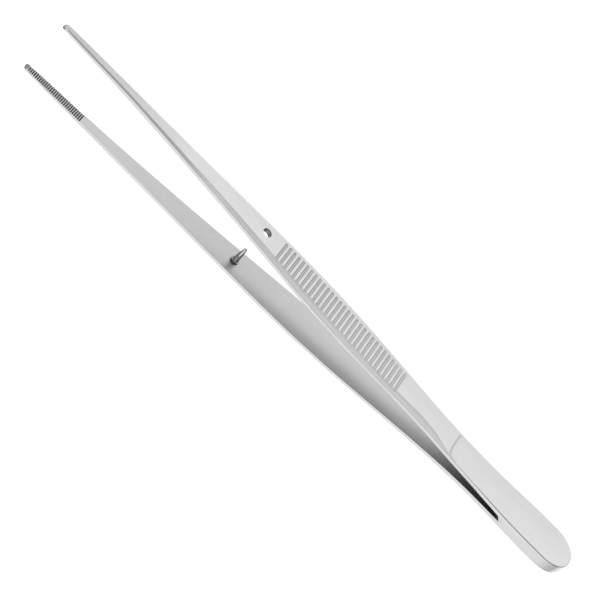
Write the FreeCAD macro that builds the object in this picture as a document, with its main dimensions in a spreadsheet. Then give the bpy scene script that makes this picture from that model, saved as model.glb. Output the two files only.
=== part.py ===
import FreeCAD, Part
import os

import Sketcher

# Thumb forceps with a guide pin, lying on one long edge. Two forged steel leaves are joined
# face to face at the heel, spring apart towards the tips and meet there when squeezed.
# Millimetres. +X runs from the heel to the tips, +Y from the holed arm to the pinned arm,
# and +Z up across the width. The origin is halfway along, on the plane between the arms, on
# the surface that the forceps lie on.

SIZES = {
    "widest": 11.2,  # both flats that the forceps lie on: at the heel and beside the grip
    "flat_trim": 0.1,  # how much wider the steel would be there without the flats
    # heel end, seen on its broad face: a nose arc between two flatter shoulder arcs
    "nose_inset": 0.5,  # the nose arc's radius is this much under half the width
    "shoulder_radius": 9.0,
    # where the heel panel ends and the ground face and bevels begin
    "step_drop": 0.05,
    # grip: rows of round-bottomed cross grooves on each outer face, which is straight there
    "grip_splay": 0.0655,  # how far it moves outwards for each millimetre towards the tips
    "grip_lead": 5.7,  # from the guide pin back to the first groove
    "grip_pitch": 1.492,
    "short_grooves": 4,
    "long_grooves": 26,
    "groove_width": 0.74,
    "groove_depth": 0.22,
    "short_groove_length": 7.0,
    "long_groove_length": 7.9,
    # cross serrations inside the tips
    "tooth_margin": 1.5,  # from the end of the tips back to the first groove
    "tooth_pitch": 0.586,
    "tooth_count": 30,
    "tooth_mouth": 0.5,
    "tooth_depth": 0.26,
    "tip_round": 0.95,  # seen from the side of the width
    "tip_nose": 2.4,  # seen from the edge: the outer face curves in towards the end
    "tip_sweep": 1.65,  # where that curve begins, back from the end
    # guide pin and the hole it enters
    "pin_offset": -0.15,
    "pin_cone_width": 1.6,
    "pin_end_width": 0.96,
    "pin_height": 5.4,
    "collar_width": 2.3,
    "collar_height": 0.45,
    "shank_width": 1.5,
    "shank_inset": 0.08,
    "seat_clearance": 0.01,
    "hole_clearance": 0.43,
    "hole_shift": -0.5,
    "over": 2.0,  # how far cutting shapes and the end sections reach past the steel
}

# Cross-sections of one leaf, from the heel to the tip: distance from the section before it,
# how much further out the outer face is than it was there, thickness, full width, width of
# the flat outer face between the bevels, and the height that each bevel takes off the edge.
# The first spacing starts at the heel's end and the last one stops at the end of the tips, so
# the spacings add up to the overall length. Up to the root the leaf is solid to the middle
# plane. The bevels start at the step. None stands where another size gives the value.
COLUMNS = ("spacing", "rise", "thick", "width", "face", "bevel")
STATIONS = {
    "heel": (),
    "back": (),
    "panel": (10.0, 1.82),
    "root": (11.8, None, 1.20, 10.48),
    "spring": (11.2, 0.30, 1.10, 9.38),
    "step": (8.2, 0.56, 1.16, 9.10, 8.30, 0.06),
    "waist": (6.8, 0.67, 1.28, 8.96, 5.84, 0.21),
    "rear": (14.0, 1.01, 1.24, 9.80, 6.96, 0.24),
    "grip": (20.0, None, 1.38, None, 8.24, 0.41),
    "guide": (29.0, None, 1.54, 8.68, 6.44, 0.53),
    "fore": (14.0, 0.66, 1.52, 6.76, 4.90, 0.48),
    "taper": (15.0, 0.59, 1.48, 4.94, 3.76, 0.45),
    "nose": (20.0, 0.59, 1.36, 2.96, 2.12, 0.31),
    "brow": (11.0, 0.13, 1.18, 2.42, 1.76, 0.26),
    "beak": (5.0, 0.05, 1.08, 2.10, 1.50, 0.24),
    "tip": (4.0, 0.02, 0.95, 1.68, 1.16, 0.21),
}
NAMES = list(STATIONS)
PANEL = NAMES[:NAMES.index("root")]
GRIP = ("grip", "guide")
AFTER_ROOT = NAMES[NAMES.index("root"):]
AFTER_STEP = NAMES[NAMES.index("step"):]

doc = FreeCAD.newDocument("ThumbForceps")
sheet = doc.addObject("Spreadsheet::Sheet", "Sizes")


def write_cell(row, alias, value):
    sheet.set("A%d" % row, alias)
    sheet.set("B%d" % row, str(value))
    sheet.setAlias("B%d" % row, alias)


row = 1
for alias, value in SIZES.items():
    write_cell(row, alias, value)
    row += 1
for station, values in STATIONS.items():
    for column, value in zip(COLUMNS, values):
        if value is not None:
            write_cell(row, station + "_" + column, value)
            row += 1
doc.recompute()



def spacings(first, last):
    """The spacings from the section after first up to last, added up."""
    chosen = NAMES[NAMES.index(first) + 1 : NAMES.index(last) + 1]
    return " + ".join("Sizes.%s_spacing" % name for name in chosen if STATIONS[name])


HALF_LENGTH = "((%s) / 2)" % spacings("heel", "tip")


def place(station):
    """Where a section stands along X. The end sections stand past both ends."""
    if station == "heel":
        return "(-%s - Sizes.over)" % HALF_LENGTH
    if station == "tip":
        return "(%s + Sizes.over)" % HALF_LENGTH
    if station == "back":
        return "((%s + %s) / 2)" % (place("heel"), place("panel"))
    return "(%s - %s)" % (spacings("heel", station), HALF_LENGTH)


def outer(station):
    """How far the outer face is from the middle plane before it is ground."""
    if station in PANEL or station == "root":
        return "Sizes.panel_rise"
    before = NAMES[NAMES.index(station) - 1]
    if station in GRIP:
        return "(%s + Sizes.grip_splay * Sizes.%s_spacing)" % (outer(before), station)
    return "(%s + Sizes.%s_rise)" % (outer(before), station)


def inner(station):
    """How far the inner face is from the middle plane."""
    return "0" if station in PANEL else "(%s - Sizes.%s_thick)" % (outer(station), station)


def half_width(station):
    if station in PANEL or station == "grip":
        return "((Sizes.widest + Sizes.flat_trim) / 2)"
    return "(Sizes.%s_width / 2)" % station


def origin_plane(body, role):
    return [item for item in body.Origin.OriginFeatures if item.Role == role][0]


def new_sketch(body, name, role, base=(None, None, None), turn=None):
    """A sketch on one of the body's own planes. base holds expressions for its shift in the
    plane's own axes, and turn one for its angle about the sketch's vertical axis."""
    sketch = body.newObject("Sketcher::SketchObject", name)
    sketch.AttachmentSupport = [(origin_plane(body, role), "")]
    sketch.MapMode = "FlatFace"
    if turn:
        axis, expression = turn
        sketch.AttachmentOffset = FreeCAD.Placement(
            FreeCAD.Vector(), FreeCAD.Rotation(axis, 1.0)
        )
        sketch.setExpression("AttachmentOffset.Rotation.Angle", expression)
    for letter, expression in zip("xyz", base):
        if expression:
            sketch.setExpression("AttachmentOffset.Base." + letter, expression)
    return sketch


def value_of(sketch, expression):
    return float(sketch.evalExpression(expression))


def point_of(sketch, corner):
    return FreeCAD.Vector(value_of(sketch, corner[0]), value_of(sketch, corner[1]), 0)


def pin_down(sketch, geometry, end, corner):
    """Holds one end of a line or arc at a corner given by two expressions. An expression of
    "0" puts it on the sketch's own axis."""
    for kind, axis, expression in zip(("DistanceX", "DistanceY"), (-2, -1), corner):
        if expression == "0":
            sketch.addConstraint(Sketcher.Constraint("PointOnObject", geometry, end, axis))
            continue
        index = sketch.addConstraint(
            Sketcher.Constraint(kind, -1, 1, geometry, end, value_of(sketch, expression))
        )
        sketch.setExpression("Constraints[%d]" % index, expression)


def polygon(sketch, corners):
    """A closed outline of straight lines through corners, each held by two expressions."""
    first = sketch.GeometryCount
    points = [point_of(sketch, corner) for corner in corners]
    count = len(points)
    for i in range(count):
        sketch.addGeometry(Part.LineSegment(points[i], points[(i + 1) % count]), False)
    for i in range(count):
        sketch.addConstraint(
            Sketcher.Constraint("Coincident", first + i, 2, first + (i + 1) % count, 1)
        )
    for i, corner in enumerate(corners):
        pin_down(sketch, first + i, 1, corner)
    return sketch


def section_sketches(body, prefix, stations, corners_of):
    """One cross-section sketch for each station, square to X."""
    sketches = []
    for station in stations:
        base = (None, None, place(station))
        sketch = new_sketch(body, prefix + "_" + station, "YZ_Plane", base)
        polygon(sketch, corners_of(station))
        sketches.append(sketch)
    return sketches


def loft(body, kind, name, sketches):
    feature = body.newObject("PartDesign::" + kind, name)
    feature.Profile = sketches[0]
    feature.Sections = sketches[1:]
    feature.Ruled = False
    return feature


def pocket_both_ways(body, name, sketch):
    feature = body.newObject("PartDesign::Pocket", name)
    feature.Profile = sketch
    feature.Type = "ThroughAll"
    feature.Midplane = True
    return feature


def settle(body, feature, removes=True):
    """Recomputes, and stops if a cut that should take steel away left it all in place."""
    body.Tip = feature
    before = settle.volume.get(body.Name)
    doc.recompute()
    volume = body.Shape.Volume
    if removes and before is not None and not volume < before - 1e-6:
        raise RuntimeError(feature.Name + " removed nothing")
    settle.volume[body.Name] = volume


settle.volume = {}

# One leaf with all that both arms share, on the +Y side of the middle plane.
leaf = doc.addObject("PartDesign::Body", "leaf")


def blank_corners(station):
    half, top = half_width(station), outer(station)
    return [("-Sizes.over", "-" + half), (top, "-" + half), (top, half), ("-Sizes.over", half)]


def gap_corners(station):
    reach = half_width(station) + " + Sizes.over"
    back = "-2 * Sizes.over"
    low = "-(%s)" % reach
    return [(back, low), (inner(station), low), (inner(station), reach), (back, reach)]


def bevel_corners(station):
    """All that lies outside the flat outer face and the two bevels beside it."""
    half = half_width(station)
    face = "Sizes.%s_face / 2" % station
    drop = "Sizes.%s_bevel" % station
    top = outer(station) + " - Sizes.step_drop"
    foot = "%s - %s - %s / (%s - %s) * Sizes.over" % (top, drop, drop, half, face)
    reach = half + " + Sizes.over"
    above = top + " + Sizes.over"
    return [
        (foot, "-(%s)" % reach),
        (top, "-(%s)" % face),
        (top, face),
        (foot, reach),
        (above, reach),
        (above, "-(%s)" % reach),
    ]


blank = loft(leaf, "AdditiveLoft", "Blank", section_sketches(leaf, "blank", NAMES, blank_corners))
settle(leaf, blank, removes=False)

gap = loft(leaf, "SubtractiveLoft", "Gap", section_sketches(leaf, "gap", AFTER_ROOT, gap_corners))
settle(leaf, gap)

bevel = loft(
    leaf, "SubtractiveLoft", "Bevels", section_sketches(leaf, "bevel", AFTER_STEP, bevel_corners)
)
settle(leaf, bevel)

# The joint at the heel is ground flat on the middle plane.
reach_x = "2 * " + HALF_LENGTH
joint_sketch = new_sketch(leaf, "joint", "XY_Plane")
polygon(
    joint_sketch,
    [
        ("-" + reach_x, "-3 * Sizes.over"),
        (reach_x, "-3 * Sizes.over"),
        (reach_x, "0"),
        ("-" + reach_x, "0"),
    ],
)
settle(leaf, pocket_both_ways(leaf, "Joint", joint_sketch))

# Heel end and the two flats along the widest places, seen on the broad face.
outline = new_sketch(leaf, "outline", "XZ_Plane")
half_wide = "Sizes.widest / 2"
far = "Sizes.widest"
polygon(
    outline,
    [("-" + reach_x, "-" + far), (reach_x, "-" + far), (reach_x, far), ("-" + reach_x, far)],
)
half_long = value_of(outline, HALF_LENGTH)
wide = value_of(outline, half_wide)
NOSE_RADIUS = "(Sizes.widest / 2 - Sizes.nose_inset)"
nose_r = value_of(outline, NOSE_RADIUS)
side_r = value_of(outline, "Sizes.shoulder_radius")
nose_x = nose_r - half_long
side_x = nose_x + ((side_r - nose_r) ** 2 - (side_r - wide) ** 2) ** 0.5
centre = FreeCAD.Vector(nose_x, 0, 0)
upper = FreeCAD.Vector(side_x, wide - side_r, 0)
touch_up = upper + (centre - upper).normalize() * side_r
touch_low = FreeCAD.Vector(touch_up.x, -touch_up.y, 0)
end_up = FreeCAD.Vector(side_x, wide, 0)
end_low = FreeCAD.Vector(side_x, -wide, 0)
mid_up = upper + ((touch_up - upper).normalize() + FreeCAD.Vector(0, 1, 0)).normalize() * side_r
mid_low = FreeCAD.Vector(mid_up.x, -mid_up.y, 0)
right_up = FreeCAD.Vector(half_long + 5, wide, 0)
right_low = FreeCAD.Vector(half_long + 5, -wide, 0)
shoulder_up = outline.addGeometry(Part.Arc(end_up, mid_up, touch_up), False)
nose_tip = FreeCAD.Vector(-half_long, 0, 0)
nose_arc = outline.addGeometry(Part.Arc(touch_up, nose_tip, touch_low), False)
shoulder_low = outline.addGeometry(Part.Arc(touch_low, mid_low, end_low), False)
side_low = outline.addGeometry(Part.LineSegment(end_low, right_low), False)
right_end = outline.addGeometry(Part.LineSegment(right_low, right_up), False)
side_up = outline.addGeometry(Part.LineSegment(right_up, end_up), False)


def arc_end(sketch, geometry, point):
    """1 or 2, whichever end of the arc or line lies at the point."""
    ends = [(sketch.getPoint(geometry, end) - point).Length for end in (1, 2)]
    return 1 + ends.index(min(ends))


for one, other, spot in (
    (shoulder_up, nose_arc, touch_up),
    (nose_arc, shoulder_low, touch_low),
    (shoulder_low, side_low, end_low),
    (side_up, shoulder_up, end_up),
):
    ends = (one, arc_end(outline, one, spot), other, arc_end(outline, other, spot))
    outline.addConstraint(Sketcher.Constraint("Tangent", *ends))
outline.addConstraint(Sketcher.Constraint("Coincident", side_low, 2, right_end, 1))
outline.addConstraint(Sketcher.Constraint("Coincident", right_end, 2, side_up, 1))
outline.addConstraint(Sketcher.Constraint("Horizontal", side_low))
outline.addConstraint(Sketcher.Constraint("Horizontal", side_up))
outline.addConstraint(Sketcher.Constraint("Vertical", right_end))
outline.addConstraint(Sketcher.Constraint("PointOnObject", nose_arc, 3, -1))
for kind, geometry, end, expression in (
    ("DistanceX", nose_arc, 3, "%s - %s" % (NOSE_RADIUS, HALF_LENGTH)),
    ("DistanceY", side_low, 2, "-(%s)" % half_wide),
    ("DistanceY", side_up, 1, half_wide),
    ("DistanceX", side_low, 2, HALF_LENGTH + " + 5"),
):
    index = outline.addConstraint(
        Sketcher.Constraint(kind, -1, 1, geometry, end, value_of(outline, expression))
    )
    outline.setExpression("Constraints[%d]" % index, expression)
for geometry, expression in (
    (nose_arc, NOSE_RADIUS),
    (shoulder_up, "Sizes.shoulder_radius"),
    (shoulder_low, "Sizes.shoulder_radius"),
):
    index = outline.addConstraint(
        Sketcher.Constraint("Radius", geometry, value_of(outline, expression))
    )
    outline.setExpression("Constraints[%d]" % index, expression)
settle(leaf, pocket_both_ways(leaf, "Outline", outline))


def round_off(sketch, radius, end_x, top_y, both):
    """The outline of what a rounded end leaves over: a block past an arc. The arc ends square
    to X. With both it is a half circle about the sketch's X axis, otherwise a quarter circle
    under top_y."""
    rad = value_of(sketch, radius)
    tip_x = value_of(sketch, end_x)
    top = value_of(sketch, top_y)
    vector = FreeCAD.Vector
    middle = vector(tip_x - rad, top - rad, 0)
    start = middle + vector(0, rad, 0)
    stop = middle - vector(0, rad, 0) if both else middle + vector(rad, 0, 0)
    half_turn = vector(rad, 0, 0) if both else vector(rad, rad, 0) * 0.5 ** 0.5
    arc = sketch.addGeometry(Part.Arc(start, middle + half_turn, stop), False)
    high, low = top + 4, (middle.y - rad - 4 if both else middle.y)
    corners = [start, vector(start.x, high, 0), vector(tip_x + 6, high, 0)]
    corners += [vector(tip_x + 6, low, 0)]
    corners += [vector(stop.x, low, 0), stop] if both else [stop]
    lines = [
        sketch.addGeometry(Part.LineSegment(corners[i], corners[i + 1]), False)
        for i in range(len(corners) - 1)
    ]
    for i in range(len(lines) - 1):
        sketch.addConstraint(Sketcher.Constraint("Coincident", lines[i], 2, lines[i + 1], 1))
    sketch.addConstraint(
        Sketcher.Constraint("Coincident", lines[0], 1, arc, arc_end(sketch, arc, start))
    )
    sketch.addConstraint(
        Sketcher.Constraint("Coincident", lines[-1], 2, arc, arc_end(sketch, arc, stop))
    )
    kinds = ["Vertical", "Horizontal", "Vertical", "Horizontal"] + (["Vertical"] if both else [])
    for line, kind in zip(lines, kinds):
        sketch.addConstraint(Sketcher.Constraint(kind, line))
    start_end = arc_end(sketch, arc, start)
    stop_end = arc_end(sketch, arc, stop)
    held = [("Radius", arc, None, radius)]
    held += [("DistanceX", arc, 3, "%s - %s" % (end_x, radius))]
    held += [("DistanceY", lines[1], 1, "%s + 4" % top_y)]
    held += [("DistanceX", lines[1], 2, "%s + 6" % end_x)]
    if both:
        sketch.addConstraint(Sketcher.Constraint("PointOnObject", arc, 3, -1))
        sketch.addConstraint(Sketcher.Constraint("Vertical", arc, start_end, arc, 3))
        sketch.addConstraint(Sketcher.Constraint("Vertical", arc, stop_end, arc, 3))
        held += [("DistanceY", lines[3], 2, "-(%s + 4)" % top_y)]
    else:
        held += [("DistanceY", arc, 3, "%s - %s" % (top_y, radius))]
        sketch.addConstraint(Sketcher.Constraint("Vertical", arc, start_end, arc, 3))
        sketch.addConstraint(Sketcher.Constraint("Horizontal", arc, stop_end, arc, 3))
    for kind, geometry, end, expression in held:
        if end is None:
            item = Sketcher.Constraint(kind, geometry, value_of(sketch, expression))
        else:
            item = Sketcher.Constraint(kind, -1, 1, geometry, end, value_of(sketch, expression))
        index = sketch.addConstraint(item)
        sketch.setExpression("Constraints[%d]" % index, expression)


tip_plan = new_sketch(leaf, "tip_plan", "XZ_Plane")
round_off(tip_plan, "Sizes.tip_round", HALF_LENGTH, "Sizes.tip_round", True)
settle(leaf, pocket_both_ways(leaf, "TipPlan", tip_plan))

tip_side = new_sketch(leaf, "tip_side", "XY_Plane")
tip_top = outer("tip") + " - Sizes.step_drop"
nose_end = HALF_LENGTH + " - Sizes.tip_sweep + Sizes.tip_nose"
round_off(tip_side, "Sizes.tip_nose", nose_end, tip_top, False)
settle(leaf, pocket_both_ways(leaf, "TipSide", tip_side))

mirrored_leaf = doc.addObject("Part::Mirroring", "mirrored_leaf")
mirrored_leaf.Source = leaf
mirrored_leaf.Normal = FreeCAD.Vector(0, 1, 0)
doc.recompute()

# What differs between the arms comes next. side is +1 for the pinned arm and -1 for the holed
# arm, and signs the distances from the middle plane.
UP = FreeCAD.Vector(0, 0, 1)
ROOT = place("root")
DEEP = inner("root")
SLOT = "%s - %s" % (ROOT, DEEP)


def slope(height, one, other):
    rise = "(%s - %s)" % (height(other), height(one))
    return "%s / (%s - %s)" % (rise, place(other), place(one))


TOOTH_SLOPE = slope(inner, "nose", "beak")
LEAN_SLOPE = slope(inner, "guide", "fore")


def signed(side, expression):
    return expression if side > 0 else "-(%s)" % expression


def pattern(body, name, feature, direction, pitch, count):
    copies = body.newObject("PartDesign::LinearPattern", name)
    copies.Originals = [feature]
    copies.Direction = direction
    copies.setExpression("Length", "%s * (%s - 1)" % (pitch, count))
    copies.setExpression("Occurrences", count)
    copies.Reversed = True
    return copies


def cut_grooves(body, side, name, first, count, length):
    """One round-bottomed groove with round ends, a capsule sunk into the outer face, and its
    copies at the grip pitch towards the heel, along the chord of the outer face."""
    start = "(%s - Sizes.grip_lead - %s * Sizes.grip_pitch)" % (place("guide"), first)
    radius = "((Sizes.groove_width / 2)^2 + Sizes.groove_depth^2) / (2 * Sizes.groove_depth)"
    surface = "%s - Sizes.step_drop + Sizes.grip_splay * (%s - %s)"
    surface = surface % (outer("guide"), start, place("guide"))
    high = "%s + (%s) - Sizes.groove_depth" % (surface, radius)
    sketch = new_sketch(
        body,
        name + "_profile",
        "YZ_Plane",
        (signed(side, high), None, start),
        (FreeCAD.Vector(0, 1, 0), signed(side, "atan(Sizes.grip_splay)")),
    )
    rad = value_of(sketch, radius)
    end = value_of(sketch, "%s / 2" % length)
    vector = FreeCAD.Vector
    # the sketch's own vertical axis is the capsule's axis
    corner = 0.5 ** 0.5 * rad
    low_end, low_wall = vector(0, -end, 0), vector(rad, rad - end, 0)
    top_end, top_wall = vector(0, end, 0), vector(rad, end - rad, 0)
    low_mid = vector(corner, rad - end - corner, 0)
    top_mid = vector(corner, end - rad + corner, 0)
    low_arc = sketch.addGeometry(Part.Arc(low_end, low_mid, low_wall), False)
    wall = sketch.addGeometry(Part.LineSegment(low_wall, top_wall), False)
    top_arc = sketch.addGeometry(Part.Arc(top_wall, top_mid, top_end), False)
    axis = sketch.addGeometry(Part.LineSegment(top_end, low_end), False)
    for one, other, spot in (
        (low_arc, wall, low_wall),
        (wall, top_arc, top_wall),
    ):
        ends = (one, arc_end(sketch, one, spot), other, arc_end(sketch, other, spot))
        sketch.addConstraint(Sketcher.Constraint("Tangent", *ends))
    for one, other, spot in (
        (top_arc, axis, top_end),
        (axis, low_arc, low_end),
    ):
        ends = (one, arc_end(sketch, one, spot), other, arc_end(sketch, other, spot))
        sketch.addConstraint(Sketcher.Constraint("Coincident", *ends))
    for geometry, point in ((low_arc, 3), (top_arc, 3), (axis, 1), (axis, 2)):
        sketch.addConstraint(Sketcher.Constraint("PointOnObject", geometry, point, -2))
    for item, expression in (
        (("Radius", low_arc), radius),
        (("Radius", top_arc), radius),
        (("DistanceY", -1, 1, axis, 1), "%s / 2" % length),
        (("DistanceY", -1, 1, axis, 2), "-%s / 2" % length),
    ):
        index = sketch.addConstraint(Sketcher.Constraint(*item, value_of(sketch, expression)))
        sketch.setExpression("Constraints[%d]" % index, expression)
    groove = body.newObject("PartDesign::Groove", name)
    groove.Profile = sketch
    groove.ReferenceAxis = (sketch, ["V_Axis"])
    groove.Angle = 360
    settle(body, groove)
    rows = pattern(body, name + "_rows", groove, (sketch, ["N_Axis"]), "Sizes.grip_pitch", count)
    settle(body, rows)


def cut_teeth(body, side, name, start):
    """One V-shaped cross groove inside the tip and its copies along the inner face."""
    surface = "(%s + %s * (%s - %s))" % (inner("nose"), TOOTH_SLOPE, start, place("nose"))
    sketch = new_sketch(
        body,
        name + "_profile",
        "XY_Plane",
        (start, signed(side, surface), None),
        (UP, signed(side, "atan(%s)" % TOOTH_SLOPE)),
    )
    mouth = "Sizes.tooth_mouth / 2"
    depth = signed(side, "Sizes.tooth_depth")
    # the sloping sides are carried on past the face, so the mouth keeps its width there
    wide = "(%s) * 1.5" % mouth
    below = signed(-side, "Sizes.tooth_depth / 2")
    polygon(sketch, [("-(%s)" % wide, below), (wide, below), ("0", depth)])
    tooth = pocket_both_ways(body, name, sketch)
    settle(body, tooth)
    along = (sketch, ["H_Axis"])
    rows = pattern(body, name + "_rows", tooth, along, "Sizes.tooth_pitch", "Sizes.tooth_count")
    settle(body, rows)


def cut_bore(body, side, name, radius, shift):
    """A round hole square to the inner face at the guide station."""
    sketch = new_sketch(
        body,
        name + "_profile",
        "XZ_Plane",
        (place("guide"), shift, signed(-side, inner("guide"))),
        (FreeCAD.Vector(0, 1, 0), signed(side, "atan(%s)" % LEAN_SLOPE)),
    )
    circle = sketch.addGeometry(
        Part.Circle(FreeCAD.Vector(), FreeCAD.Vector(0, 0, 1), value_of(sketch, radius)), False
    )
    sketch.addConstraint(Sketcher.Constraint("Coincident", circle, 3, -1, 1))
    index = sketch.addConstraint(Sketcher.Constraint("Radius", circle, value_of(sketch, radius)))
    sketch.setExpression("Constraints[%d]" % index, radius)
    settle(body, pocket_both_ways(body, name, sketch))


def arm_body(name, base, side):
    body = doc.addObject("PartDesign::Body", name)
    body.Label = name
    body.BaseFeature = base
    body.setExpression("Placement.Base.z", "Sizes.widest / 2")
    doc.recompute()
    settle.volume[body.Name] = body.Shape.Volume
    return body


def finish_arm(body, side, bore_radius, bore_shift, tooth_start, slot_corners):
    slot = new_sketch(body, "slot_end", "XY_Plane")
    polygon(slot, [(x, y if y == "0" else signed(side, y)) for x, y in slot_corners])
    settle(body, pocket_both_ways(body, "SlotEnd", slot))
    cut_bore(body, side, "Bore", bore_radius, bore_shift)
    cut_teeth(body, side, "Tooth", tooth_start)
    short, long = "Sizes.short_grooves", "Sizes.long_grooves"
    cut_grooves(body, side, "ShortGroove", "0", short, "Sizes.short_groove_length")
    cut_grooves(body, side, "LongGroove", short, long, "Sizes.long_groove_length")


# The slot's rear end slants at 45 degrees through both arms.
FIRST_TOOTH = "(%s - Sizes.tooth_margin)" % HALF_LENGTH
pinned_arm = arm_body("pinned_arm", leaf, 1)
finish_arm(
    pinned_arm,
    1,
    "Sizes.shank_width / 2 + Sizes.seat_clearance",
    "Sizes.pin_offset",
    FIRST_TOOTH,
    [(ROOT, "0"), (ROOT, DEEP), (SLOT + " - " + DEEP, DEEP), (SLOT, "0")],
)
holed_arm = arm_body("holed_arm", mirrored_leaf, -1)
finish_arm(
    holed_arm,
    -1,
    "Sizes.pin_cone_width / 2 + Sizes.hole_clearance",
    "Sizes.pin_offset + Sizes.hole_shift",
    "(%s - Sizes.tooth_pitch / 2)" % FIRST_TOOTH,
    [(ROOT, "0"), (ROOT, DEEP), (SLOT, "0")],
)

# The guide pin: a shank pressed through the pinned arm, a collar on the inner face, and a
# tapered nose with a round end that enters the other arm's hole.
guide_pin = doc.addObject("PartDesign::Body", "guide_pin")
guide_pin.Label = "guide_pin"
profile = new_sketch(guide_pin, "profile", "XY_Plane")
shank = "Sizes.guide_thick - Sizes.step_drop - Sizes.shank_inset"
round_r = "Sizes.pin_end_width / 2"
corners = [
    ("0", shank),
    ("Sizes.shank_width / 2", shank),
    ("Sizes.shank_width / 2", "0"),
    ("Sizes.collar_width / 2", "0"),
    ("Sizes.collar_width / 2", "-Sizes.collar_height"),
    ("Sizes.pin_cone_width / 2", "-Sizes.collar_height"),
    (round_r, "%s - Sizes.pin_height" % round_r),
]
points = [point_of(profile, corner) for corner in corners]
for i in range(len(points) - 1):
    profile.addGeometry(Part.LineSegment(points[i], points[i + 1]), False)
end_r = value_of(profile, round_r)
bottom = FreeCAD.Vector(0, -value_of(profile, "Sizes.pin_height"), 0)
side_point = points[-1]
ball = FreeCAD.Vector(0, side_point.y, 0)
middle = ball + FreeCAD.Vector(end_r * 0.5 ** 0.5, -end_r * 0.5 ** 0.5, 0)
cap = profile.addGeometry(Part.Arc(side_point, middle, bottom), False)
spine = profile.addGeometry(Part.LineSegment(bottom, points[0]), False)
for i in range(len(points) - 2):
    profile.addConstraint(Sketcher.Constraint("Coincident", i, 2, i + 1, 1))
for i, corner in enumerate(corners[:-1]):
    pin_down(profile, i, 1, corner)
pin_down(profile, len(points) - 2, 2, corners[-1])
profile.addConstraint(
    Sketcher.Constraint("Coincident", len(points) - 2, 2, cap, arc_end(profile, cap, side_point))
)
profile.addConstraint(
    Sketcher.Constraint("Coincident", spine, 1, cap, arc_end(profile, cap, bottom))
)
profile.addConstraint(Sketcher.Constraint("Coincident", spine, 2, 0, 1))
profile.addConstraint(Sketcher.Constraint("PointOnObject", cap, 3, -2))
profile.addConstraint(Sketcher.Constraint("PointOnObject", spine, 1, -2))
profile.addConstraint(Sketcher.Constraint("Horizontal", cap, 3, len(points) - 2, 2))
turned = guide_pin.newObject("PartDesign::Revolution", "Turned")
turned.Profile = profile
turned.ReferenceAxis = (profile, ["V_Axis"])
turned.Angle = 360
guide_pin.Tip = turned
guide_pin.Placement = FreeCAD.Placement(FreeCAD.Vector(), FreeCAD.Rotation(UP, 1.0))
guide_pin.setExpression("Placement.Rotation.Angle", "atan(%s)" % LEAN_SLOPE)
guide_pin.setExpression("Placement.Base.x", place("guide"))
guide_pin.setExpression("Placement.Base.y", inner("guide") + " - Sizes.seat_clearance")
guide_pin.setExpression("Placement.Base.z", "Sizes.widest / 2 + Sizes.pin_offset")
doc.recompute()

for item in doc.Objects:
    if "Invalid" in item.State or "Error" in item.State:
        raise RuntimeError(item.Name + " failed: " + str(item.State))

os.makedirs("parts", exist_ok=True)
for piece in (holed_arm, pinned_arm, guide_pin):
    shape = piece.Shape
    if shape.isNull() or not shape.isValid() or len(shape.Solids) != 1:
        raise RuntimeError(piece.Label + " is not one sound solid")
    shape.exportStep("parts/" + piece.Label + ".step")
    print(piece.Label, round(shape.Volume, 2))
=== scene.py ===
"""Looks for a pair of steel thumb forceps, lying open on one long edge.

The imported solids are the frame. Each arm and the guide pin is built again here as one fine
closed surface on the same sizes, with its edges broken as a polishing wheel leaves them.
Millimetres are used throughout and turned into metres when a mesh is made. +X runs from the
heel to the tips, +Y from the holed arm to the pinned arm, +Z up across the width.
"""

import math

import bpy
import numpy as np
from mathutils import Matrix, Vector


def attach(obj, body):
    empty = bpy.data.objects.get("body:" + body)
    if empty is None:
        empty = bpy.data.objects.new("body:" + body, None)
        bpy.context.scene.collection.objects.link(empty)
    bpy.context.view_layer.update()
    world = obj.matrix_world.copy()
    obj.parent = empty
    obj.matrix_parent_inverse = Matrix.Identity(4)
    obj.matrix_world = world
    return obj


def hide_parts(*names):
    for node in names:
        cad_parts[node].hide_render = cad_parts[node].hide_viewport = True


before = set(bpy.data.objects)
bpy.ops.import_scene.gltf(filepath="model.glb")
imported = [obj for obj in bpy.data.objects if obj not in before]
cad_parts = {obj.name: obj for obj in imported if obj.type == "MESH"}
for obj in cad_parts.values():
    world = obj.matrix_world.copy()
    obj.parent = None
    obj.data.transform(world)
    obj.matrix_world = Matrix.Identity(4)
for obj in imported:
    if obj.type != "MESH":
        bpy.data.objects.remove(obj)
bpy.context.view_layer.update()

MM = 0.001
MID_WIDTH = 5.6  # height of the middle of the arms above the surface they lie on

# One leaf, section by section from the heel to the tips: spacing from the section before,
# how much further out the outer face is, thickness, width, width of the flat outer face, and
# how much the bevels take off its edges. The broad places are ground flat at FLAT_HALF.
SECTIONS = {
    "panel": (10.0, 1.82, 1.82, 11.3, None, None),
    "root": (11.8, 0.0, 1.20, 10.48, None, None),
    "spring": (11.2, 0.30, 1.10, 9.38, None, None),
    "step": (8.2, 0.56, 1.16, 9.10, 8.30, 0.06),
    "waist": (6.8, 0.67, 1.28, 8.96, 5.84, 0.21),
    "rear": (14.0, 1.01, 1.24, 9.80, 6.96, 0.24),
    "grip": (20.0, 1.31, 1.38, 11.3, 8.24, 0.41),
    "guide": (29.0, 1.8995, 1.54, 8.68, 6.44, 0.53),
    "fore": (14.0, 0.66, 1.52, 6.76, 4.90, 0.48),
    "taper": (15.0, 0.59, 1.48, 4.94, 3.76, 0.45),
    "nose": (20.0, 0.59, 1.36, 2.96, 2.12, 0.31),
    "brow": (11.0, 0.13, 1.18, 2.42, 1.76, 0.26),
    "beak": (5.0, 0.05, 1.08, 2.10, 1.50, 0.24),
    "tip": (4.0, 0.02, 0.95, 1.68, 1.16, 0.21),
}
NAMES = list(SECTIONS)
END_REACH = 2.0  # the first and last sections stand this far past the ends
HALF_LENGTH = sum(values[0] for values in SECTIONS.values()) / 2
FLAT_HALF = 5.6
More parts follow.
